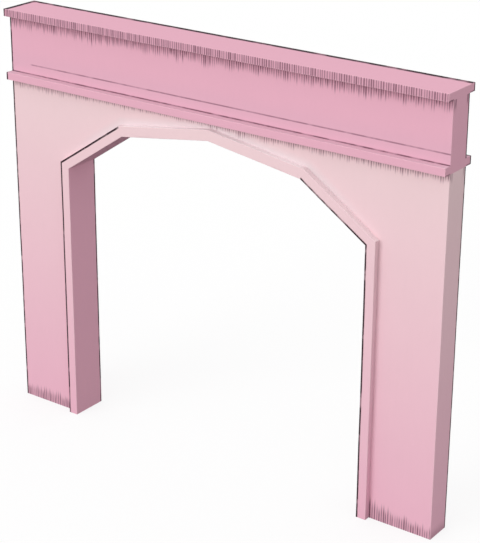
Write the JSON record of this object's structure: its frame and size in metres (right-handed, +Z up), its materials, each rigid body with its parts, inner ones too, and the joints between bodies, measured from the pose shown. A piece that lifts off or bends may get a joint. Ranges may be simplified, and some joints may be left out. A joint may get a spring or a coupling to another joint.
{
  "type": "triumphal arch",
  "caption": "Rendered masonry triumphal arch: thin wall with a wide opening under a faceted head, raised surround, string course, plain attic and flat cornice spanning a roadway.",
  "frame": {"origin": "on the ground, at the middle of the wall in length and thickness", "axes": "+X along the front to the right, front face towards -Y, +Z up"},
  "size_m": [8, 0.712, 6.805],
  "materials": {
    "wall_limewash": "matte pink limewash on lime render, paler towards the top",
    "surround_limewash": "matte pink limewash on lime render",
    "attic_limewash": "matte deeper pink limewash on lime render"
  },
  "bodies": {
    "root": {"left_pier": "wall_limewash", "right_pier": "wall_limewash", "left_haunch": "wall_limewash", "right_haunch": "wall_limewash", "left_crown": "wall_limewash", "right_crown": "wall_limewash", "front_left_jamb": "surround_limewash", "front_left_haunch_band": "surround_limewash", "front_left_crown_band": "surround_limewash", "front_right_jamb": "surround_limewash", "front_right_haunch_band": "surround_limewash", "front_right_crown_band": "surround_limewash", "back_left_jamb": "surround_limewash", "back_left_haunch_band": "surround_limewash", "back_left_crown_band": "surround_limewash", "back_right_jamb": "surround_limewash", "back_right_haunch_band": "surround_limewash", "back_right_crown_band": "surround_limewash", "string_left_end": "attic_limewash", "string_left": "attic_limewash", "string_right": "attic_limewash", "string_right_end": "attic_limewash", "attic_base": "attic_limewash", "attic_wall": "attic_limewash", "cornice_left_end": "attic_limewash", "cornice_left": "attic_limewash", "cornice_right": "attic_limewash", "cornice_right_end": "attic_limewash"}
  },
  "joints": []
}
